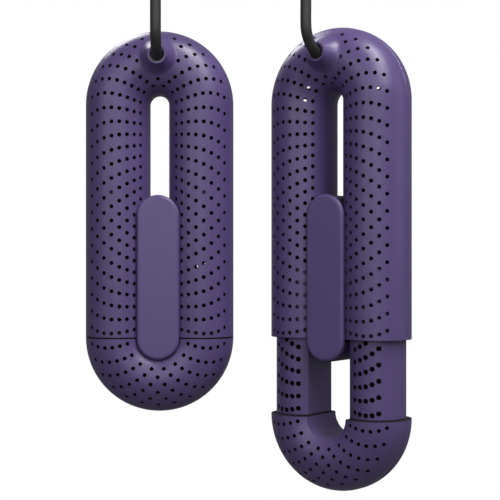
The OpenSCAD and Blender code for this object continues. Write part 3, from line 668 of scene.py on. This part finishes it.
def tongue_spots():
    """Sections of the tongue, which rises from the band and ends in a round tip that stands off a little."""
    for i in range(TONGUE_STEPS + 1):
        share = i / TONGUE_STEPS
        depth = -TONGUE_HALF + 2 * TONGUE_HALF * share
        near_tip = min(max(0.0, 1 - (1 - share) / TIP_SHARE), 1.0)
        width = STRAP_W * (TIP_WIDTH + (1 - TIP_WIDTH) * math.sqrt(1 - near_tip ** 2))
        risen = ROOT_LIFT + (1 - ROOT_LIFT) * min(1.0, share / ROOT_SHARE)
        out = STRAP_OUT + STRAP_T * risen + TIP_LIFT * near_tip ** 2
        yield [(across, depth, out + thick) for across, thick in strap_section(width)]


def wrap_strap(name, turn):
    """Band round both coils at twelve or six o'clock, with its tongue."""
    upright = Matrix.Translation((0, 0, COIL_Z)) @ Matrix.Rotation(turn, 4, "Y")
    place = Matrix.Scale(MM, 4) @ upright
    shape = bmesh.new()
    join_round(shape, [add_ring(shape, place, spots) for spots in band_spots()])
    join_capped(shape, [add_ring(shape, place, spots) for spots in tongue_spots()])
    strap = surface_piece(name, shape, "tie")
    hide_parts("coil_ties")
    return strap


# Bumper round the lower end of the bar's frame, on which the slider closes
BUMPER_IN = 9.4
BUMPER_OUT = 10.3
BUMPER_HALF = 12.73
BUMPER_ROUND = 0.2
BUMPER_FROM = 186
BUMPER_TO = 354
BUMPER_STEPS = 48
BUMPER_CORNER = 4


def lay_bumper(side):
    """Thin strip on the lower end of a bar's frame."""
    section = rounded_box(
        (BUMPER_IN, -BUMPER_HALF), (BUMPER_OUT, BUMPER_HALF), BUMPER_ROUND, BUMPER_CORNER
    )
    place = face_place(side)
    shape = bmesh.new()
    rings = []
    for i in range(BUMPER_STEPS + 1):
        angle = math.radians(BUMPER_FROM + (BUMPER_TO - BUMPER_FROM) * i / BUMPER_STEPS)
        spots = [
            (radius * math.cos(angle), -STRAIGHT + radius * math.sin(angle), out)
            for radius, out, way in section
        ]
        rings.append(add_ring(shape, place, spots))
    join_capped(shape, rings)
    surface_piece(side + "_bar_bumper", shape, "bar_frame")


for side in SIDES:
    lay_flare(side)
    lay_bumper(side)
straps = [wrap_strap("upper_coil_strap", 0.0), wrap_strap("lower_coil_strap", math.pi)]


# Stage: a pale floor under the hanging pair, white round about, lamps and soft boxes

# Floor, in metres: pale and lit near the pair, and white like the room further away. What it throws back on the
# pair is kept low.
FLOOR_Z = -0.5
FLOOR_CENTRE = (0.007, 0.022)
FLOOR_RADIUS = 2.4
FLOOR_SIDES = 96
FLOOR_NEAR = 0.28
FLOOR_FAR = 0.52
FLOOR_PALE = 0.72
FLOOR_BOUNCE = 0.12
FLOOR_ROUGH = 0.8

# Room: its strength as light, to the camera, and in a mirror or glass
ROOM_LIGHT = 0.02
ROOM_SEEN = 1.0
ROOM_MIRRORED = 0.2
MIRRORED_RAYS = ("Is Glossy Ray", "Is Transmission Ray")

# Lamps: place in metres, width of the square and power in watts
LAMP_AIM = (0.007, 0.02, -0.29)
LAMPS = {
    "key_lamp": ((0.27, -0.21, 0.41), 0.25, 4.2),
    "right_softbox": ((0.396, -0.545, 0.29), 0.4, 3.6),
    "left_softbox": ((-0.6, -0.75, 0.05), 0.6, 2.2),
    "front_softbox": ((0.0, -1.0, 0.03), 0.7, 2.7),
    "side_softbox": ((0.85, -0.1, -0.05), 0.5, 0.6),
    "back_lamp": ((-0.3, 0.6, 0.3), 0.3, 2.4),
    "back_softbox": ((-0.1, 1.0, 0.05), 1.3, 9.0),
}


def seen_ray(tree, ray):
    """1 for a ray from the camera or from a mirror or glass, else 0."""
    seen = ray.outputs["Is Camera Ray"]
    for label in MIRRORED_RAYS:
        seen = larger(tree, seen, ray.outputs[label])
    return seen


def seen_strength(tree, ray, unseen):
    """Strength of the white round about: full to the camera, less in a mirror or glass."""
    strength = spread(tree, ray.outputs["Is Camera Ray"], 0.0, 1.0, unseen, ROOM_SEEN)
    for label in MIRRORED_RAYS:
        strength = larger(tree, strength, times(tree, ray.outputs[label], ROOM_MIRRORED))
    return strength


def floor_finish():
    finish = bpy.data.materials.new("pale_floor")
    finish.use_nodes = True
    tree = finish.node_tree
    surface = tree.nodes["Principled BSDF"]
    surface.inputs["Roughness"].default_value = FLOOR_ROUGH
    ray = tree.nodes.new("ShaderNodeLightPath")
    pale = spread(tree, ray.outputs["Is Camera Ray"], 0.0, 1.0, FLOOR_BOUNCE, FLOOR_PALE)
    tree.links.new(pale, surface.inputs["Base Color"])
    glow = tree.nodes.new("ShaderNodeEmission")
    tree.links.new(seen_strength(tree, ray, 0.0), glow.inputs["Strength"])
    where = tree.nodes.new("ShaderNodeTexCoord")
    reach = tree.nodes.new("ShaderNodeVectorMath")
    reach.operation = "LENGTH"
    tree.links.new(where.outputs["Object"], reach.inputs[0])
    away = spread(tree, reach.outputs["Value"], FLOOR_NEAR, FLOOR_FAR)
    mix = tree.nodes.new("ShaderNodeMixShader")
    tree.links.new(times(tree, away, seen_ray(tree, ray)), mix.inputs["Fac"])
    tree.links.new(surface.outputs["BSDF"], mix.inputs[1])
    tree.links.new(glow.outputs["Emission"], mix.inputs[2])
    tree.links.new(mix.outputs["Shader"], tree.nodes["Material Output"].inputs["Surface"])
    return finish


def lay_floor():
    mesh = bpy.data.meshes.new("studio_floor")
    shape = bmesh.new()
    bmesh.ops.create_circle(shape, cap_ends=True, segments=FLOOR_SIDES, radius=FLOOR_RADIUS)
    shape.to_mesh(mesh)
    shape.free()
    mesh.materials.append(floor_finish())
    floor = bpy.data.objects.new("studio_floor", mesh)
    floor.location = (*FLOOR_CENTRE, FLOOR_Z)
    scene.collection.objects.link(floor)


def light_room():
    world = bpy.data.worlds.new("white_room")
    scene.world = world
    world.use_nodes = True
    tree = world.node_tree
    background = tree.nodes["Background"]
    background.inputs["Color"].default_value = (1.0, 1.0, 1.0, 1.0)
    ray = tree.nodes.new("ShaderNodeLightPath")
    tree.links.new(seen_strength(tree, ray, ROOM_LIGHT), background.inputs["Strength"])


def hang_lamp(name, at, width, power):
    lamp = bpy.data.lights.new(name, "AREA")
    lamp.shape = "SQUARE"
    lamp.size = width
    lamp.energy = power
    lamp_object = bpy.data.objects.new(name, lamp)
    lamp_object.location = at
    lamp_object.visible_camera = False
    lamp_object.rotation_euler = (Vector(LAMP_AIM) - Vector(at)).to_track_quat("-Z", "Y").to_euler()
    scene.collection.objects.link(lamp_object)
    return lamp_object


def pass_by(lamp_object, pieces):
    """Lets a lamp's light pass the coiled leads, which hang above the view, without their shadow."""
    passed = bpy.data.collections.new("passed_by_" + lamp_object.name)
    for piece in pieces:
        passed.objects.link(piece)
    for entry in passed.collection_objects:
        entry.light_linking.link_state = "EXCLUDE"
    lamp_object.light_linking.blocker_collection = passed


lay_floor()
light_room()
lamps = {name: hang_lamp(name, *values) for name, values in LAMPS.items()}
for name in ("key_lamp", "back_lamp"):
    pass_by(lamps[name], [*leads, *straps])

# The large soft box behind lights the rear without a sheen on the insides that the camera sees
lamps["back_softbox"].visible_glossy = False
